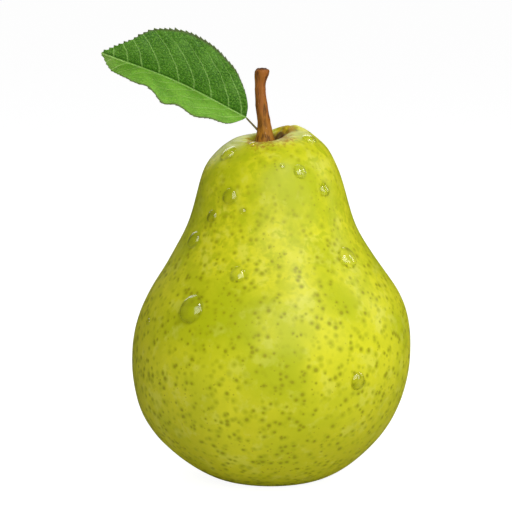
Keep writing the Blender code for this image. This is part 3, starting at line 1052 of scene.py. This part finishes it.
def add_drop(mesh, surface, place, width, tallness, lean, bulge):
    """A drop that clings to the skin, with its base just under it."""
    out = surface.find_nearest(place)[1]
    side = UP.cross(out).normalized()
    side.rotate(Matrix.Rotation(math.radians(lean), 3, out))
    up = out.cross(side)
    reach = Vector((width / 2, width / 2 * tallness))
    ways = [side * reach.x, -side * reach.x, up * reach.y, -up * reach.y]
    rims = [surface.find_nearest(place + way) for way in ways]
    out = (out + sum((rim[1] for rim in rims), Vector())).normalized()
    falls = [(place + way - rim[0]).dot(out) for way, rim in zip(ways, rims)]
    made = bmesh.ops.create_icosphere(mesh, subdivisions=5 if width > SMALL_DROP else 4, radius=1)
    for vert in made["verts"]:
        x, y, z = vert.co
        fall = falls[0 if x > 0 else 1] * x**2 + falls[2 if y > 0 else 3] * y**2
        rise = width * z * (bulge * (1 - DROP_BELLY * y) if z > 0 else DROP_BASE)
        flat = side * x * reach.x * (1 - DROP_TAPER * y) + up * y * reach.y
        vert.co = place + flat + out * (rise - fall - DROP_SINK)


def water_finish(settings):
    """Clear water, which lets the lamps through to the skin under it."""
    finish = Finish("dew_water")
    finish.surface(
        Base_Color=settings.water, Roughness=0.0, IOR=1.33, Transmission_Weight=1.0,
        Coat_Weight=0.7, Coat_Roughness=0.08, Coat_IOR=1.7,
    )
    shadow = finish.add("ShaderNodeLightPath", output="Is Shadow Ray")
    grazing = finish.add("ShaderNodeLayerWeight", {"Blend": 0.5}, output="Facing")
    focus = finish.mix(finish.between(grazing, 0.12, 0.75), (0.74, 0.74, 0.70), (0.10, 0.10, 0.08))
    clear = finish.add("ShaderNodeBsdfTransparent", {"Color": focus})
    mixed = finish.add("ShaderNodeMixShader", {0: shadow, 1: finish.shader.outputs[0], 2: clear})
    finish.put(finish.nodes["Material Output"].inputs["Surface"], mixed)
    return finish.material


# ---- the stage


class PearStageSettings(bpy.types.PropertyGroup):
    camera_rise: FloatProperty(
        name="Camera rise", description="How far the camera looks down", subtype="ANGLE",
        min=0, max=math.radians(90), default=math.radians(8),
    )
    lens: FloatProperty(
        name="Lens", description="Focal length", unit="CAMERA", min=20, max=300, default=135,
    )
    view_width: length_setting("View width", "Width seen at the pear", 50 * MM, 1000 * MM, 138.24 * MM)
    view_height: length_setting("View height", "Height that the camera looks at", 0, 500 * MM, 60.5 * MM)
    floor: colour_setting("Floor", "Pale floor", (0.28, 0.28, 0.28))


SENSOR = 36
VIEW_SHIFT = 3.9 * MM
FLOOR_RADIUS = 40
LIGHT_AIM = UP * 50 * MM
SURROUND_LIGHT = 0.20
SURROUND_IN_REFLECTIONS = 0.045
FLOOR_GLOW = 0.93
FLOOR_LIGHT = (0.80, 0.80, 0.80)
FLOOR_IN_REFLECTIONS = (0.05, 0.05, 0.05)
WHITE = (1, 1, 1, 1)

# The studio lights: name, the side it stands on in degrees from +X (270 is the front), its rise in
# degrees, its distance, its width and height, and its power.
LIGHTS = [
    ("key_softbox", 284, 33, 1.1, (1.1, 0.9), 8.2),
    ("sparkle_lamp", 304, 58, 1.0, (0.20, 0.24), 1.9),
    ("side_softbox", 326, 17, 0.9, (0.26, 0.36), 0.75),
    ("rim_strip", 12, 28, 0.8, (0.15, 0.50), 0.8),
    ("back_panel", 100, 35, 1.0, (0.8, 0.8), 3.2),
]


def aim(obj, target):
    obj.rotation_euler = (target - obj.location).to_track_quat("-Z", "Y").to_euler()


def make_stage(settings):
    scene = bpy.context.scene
    scene.view_settings.view_transform = "Standard"
    axis = fruit_axis()
    target = Vector((axis.x - VIEW_SHIFT, 0, settings.view_height))
    away = settings.lens * settings.view_width / SENSOR
    rise = settings.camera_rise
    lens = bpy.data.cameras.new("camera")
    lens.lens = settings.lens
    lens.sensor_width = SENSOR
    lens.clip_start = 10 * MM
    camera = bpy.data.objects.new("camera", lens)
    camera.location = target + Vector((0, -math.cos(rise), math.sin(rise))) * away
    scene.collection.objects.link(camera)
    aim(camera, target)
    scene.camera = camera
    for name, facing, rise, distance, size, power in LIGHTS:
        lamp = bpy.data.lights.new(name, "AREA")
        lamp.shape = "RECTANGLE"
        lamp.size, lamp.size_y = size
        lamp.energy = power
        stand = bpy.data.objects.new(name, lamp)
        stand.location = LIGHT_AIM + way_towards(facing, rise) * distance
        scene.collection.objects.link(stand)
        aim(stand, LIGHT_AIM)
    make_backdrop(scene)
    mesh = bmesh.new()
    bmesh.ops.create_circle(mesh, cap_ends=True, segments=96, radius=FLOOR_RADIUS)
    data = bpy.data.meshes.new("floor")
    mesh.to_mesh(data)
    mesh.free()
    data.materials.append(floor_finish(settings))
    floor = bpy.data.objects.new("floor", data)
    scene.collection.objects.link(floor)


def make_backdrop(scene):
    """A white surround to look at, which lights the pear only softly."""
    world = bpy.data.worlds.new("studio")
    scene.world = world
    world.use_nodes = True
    nodes, links = world.node_tree.nodes, world.node_tree.links
    path = nodes.new("ShaderNodeLightPath").outputs
    shader = nodes["Background"].outputs[0]
    nodes["Background"].inputs["Color"].default_value = WHITE
    nodes["Background"].inputs["Strength"].default_value = SURROUND_LIGHT
    for seen_by, strength in (("Is Glossy Ray", SURROUND_IN_REFLECTIONS), ("Is Camera Ray", 1)):
        seen = nodes.new("ShaderNodeBackground")
        seen.inputs["Color"].default_value = WHITE
        seen.inputs["Strength"].default_value = strength
        mixed = nodes.new("ShaderNodeMixShader")
        for socket, output in zip(mixed.inputs, (path[seen_by], shader, seen.outputs[0])):
            links.new(output, socket)
        shader = mixed.outputs[0]
    links.new(shader, nodes["World Output"].inputs["Surface"])


def floor_finish(settings):
    """Matt pale floor, lifted towards white where the camera sees it, and dull in reflections."""
    finish = Finish("floor_paper")
    finish.surface(Base_Color=settings.floor, Roughness=0.9, Specular_IOR_Level=0.1)
    path = finish.nodes.new("ShaderNodeLightPath").outputs
    lift = finish.add("ShaderNodeEmission", {"Color": WHITE, "Strength": FLOOR_GLOW})
    bright = finish.add("ShaderNodeAddShader", {0: finish.shader.outputs[0], 1: lift})
    bounce = finish.mix(path["Is Glossy Ray"], FLOOR_LIGHT, FLOOR_IN_REFLECTIONS)
    dull = finish.add("ShaderNodeBsdfDiffuse", {"Color": bounce})
    mixed = finish.add("ShaderNodeMixShader", {0: path["Is Camera Ray"], 1: dull, 2: bright})
    finish.put(finish.nodes["Material Output"].inputs["Surface"], mixed)
    return finish.material


# ---- the add-on


class PEAR_OT_skin(bpy.types.Operator):
    """Model and paint the fruit's skin"""

    bl_idname = "pear.skin"
    bl_label = "Skin"

    def execute(self, context):
        make_skin(context.scene.pear_skin)
        return {"FINISHED"}


class PEAR_OT_stem(bpy.types.Operator):
    """Model and paint the woody stem"""

    bl_idname = "pear.stem"
    bl_label = "Stem"

    def execute(self, context):
        make_stem(context.scene.pear_stem)
        return {"FINISHED"}


class PEAR_OT_leaf(bpy.types.Operator):
    """Model and paint the folded leaf"""

    bl_idname = "pear.leaf"
    bl_label = "Leaf"

    def execute(self, context):
        make_leaf(context.scene.pear_leaf)
        return {"FINISHED"}


class PEAR_OT_calyx(bpy.types.Operator):
    """Model and paint the dried calyx under the fruit"""

    bl_idname = "pear.calyx"
    bl_label = "Calyx"

    def execute(self, context):
        make_calyx(context.scene.pear_calyx)
        return {"FINISHED"}


class PEAR_OT_dew(bpy.types.Operator):
    """Put the drops of dew on the skin"""

    bl_idname = "pear.dew"
    bl_label = "Dew"

    def execute(self, context):
        make_dew(context.scene.pear_dew)
        return {"FINISHED"}


class PEAR_OT_stage(bpy.types.Operator):
    """Set up the floor, the lights and the camera"""

    bl_idname = "pear.stage"
    bl_label = "Stage"

    def execute(self, context):
        make_stage(context.scene.pear_stage)
        return {"FINISHED"}


class PEAR_PT_maker(bpy.types.Panel):
    bl_label = "Fresh Pear"
    bl_idname = "PEAR_PT_maker"
    bl_space_type = "VIEW_3D"
    bl_region_type = "UI"
    bl_category = "Pear"

    def draw(self, context):
        for operator, settings_name, settings_class in STEPS:
            box = self.layout.box()
            box.operator(operator.bl_idname)
            settings = getattr(context.scene, settings_name)
            for name in settings_class.__annotations__:
                box.prop(settings, name)


# Each step's operator, the name of its settings on the scene, and their class, in the order of making.
STEPS = [
    (PEAR_OT_stage, "pear_stage", PearStageSettings),
    (PEAR_OT_skin, "pear_skin", PearSkinSettings),
    (PEAR_OT_stem, "pear_stem", PearStemSettings),
    (PEAR_OT_leaf, "pear_leaf", PearLeafSettings),
    (PEAR_OT_calyx, "pear_calyx", PearCalyxSettings),
    (PEAR_OT_dew, "pear_dew", PearDewSettings),
]


def register():
    for operator, settings_name, settings_class in STEPS:
        bpy.utils.register_class(settings_class)
        bpy.utils.register_class(operator)
        setattr(bpy.types.Scene, settings_name, PointerProperty(type=settings_class))
    bpy.utils.register_class(PEAR_PT_maker)


def unregister():
    bpy.utils.unregister_class(PEAR_PT_maker)
    for operator, settings_name, settings_class in reversed(STEPS):
        delattr(bpy.types.Scene, settings_name)
        bpy.utils.unregister_class(operator)
        bpy.utils.unregister_class(settings_class)


def main():
    register()
    bpy.ops.pear.stage()
    bpy.ops.pear.skin()
    bpy.ops.pear.stem()
    bpy.ops.pear.leaf()
    bpy.ops.pear.calyx()
    bpy.ops.pear.dew()


if __name__ == "__main__":
    main()
